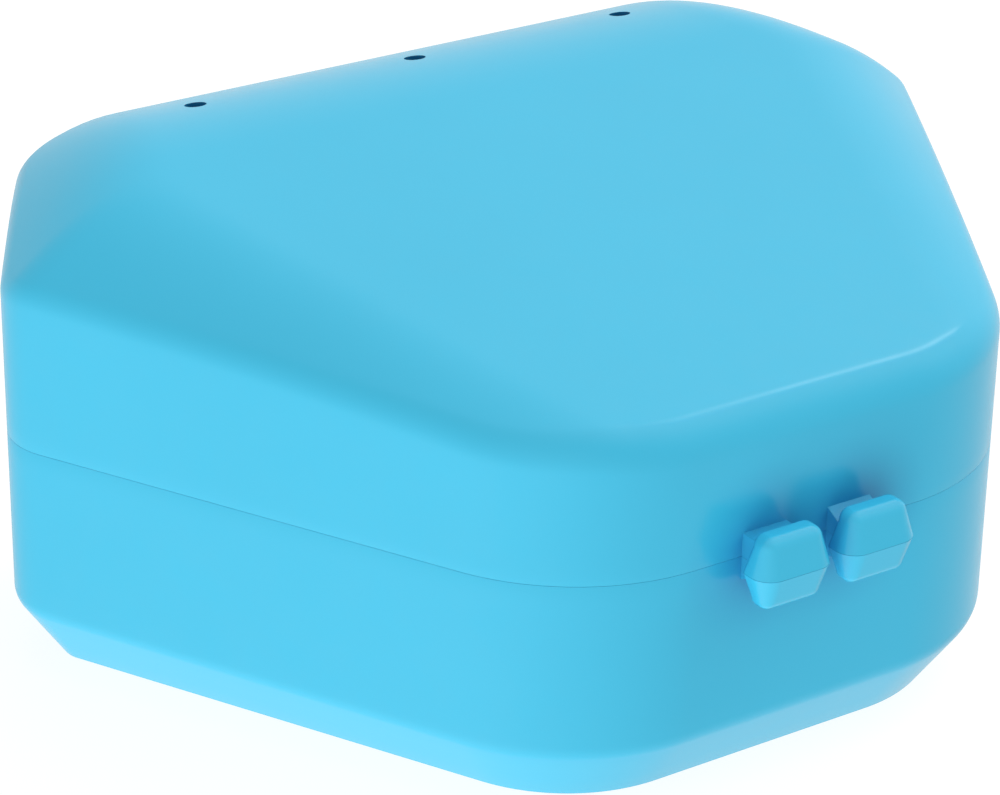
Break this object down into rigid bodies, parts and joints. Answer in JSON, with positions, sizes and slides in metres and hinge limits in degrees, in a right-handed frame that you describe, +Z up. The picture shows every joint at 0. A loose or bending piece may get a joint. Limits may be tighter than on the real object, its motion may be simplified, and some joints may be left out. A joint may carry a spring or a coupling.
{
  "type": "denture case",
  "caption": "Hinged plastic case for dentures: a six-sided tray with a domed, vented lid, front grips split at the seam, and a pinned rear hinge.",
  "frame": {"origin": "on the table, under the middle of the case with its grips and hinges", "axes": "+X along the case's width to the right seen from the front, +Y to the back, +Z up; the grips face -Y"},
  "size_m": [0.0948, 0.0793, 0.0446],
  "materials": {
    "shell_plastic": "satin, finely grained, light blue",
    "pin_plastic": "smooth, off-white"
  },
  "bodies": {
    "base": {"base_shell": "shell_plastic", "base_rim_lip": "shell_plastic", "base_grip_left": "shell_plastic", "base_grip_right": "shell_plastic", "base_hinge_left": "shell_plastic", "base_hinge_right": "shell_plastic", "hinge_pin_left": "pin_plastic", "hinge_pin_right": "pin_plastic"},
    "lid": {"lid_shell": "shell_plastic", "lid_grip_left": "shell_plastic", "lid_grip_right": "shell_plastic", "lid_hinge_left": "shell_plastic", "lid_hinge_right": "shell_plastic"}
  },
  "joints": [
    {"name": "lid_hinge", "type": "hinge", "parent": "base", "child": "lid", "pos_m": [0, 0.03705, 0.022], "axis": [-1, 0, 0], "range_deg": [0, 175]}
  ]
}
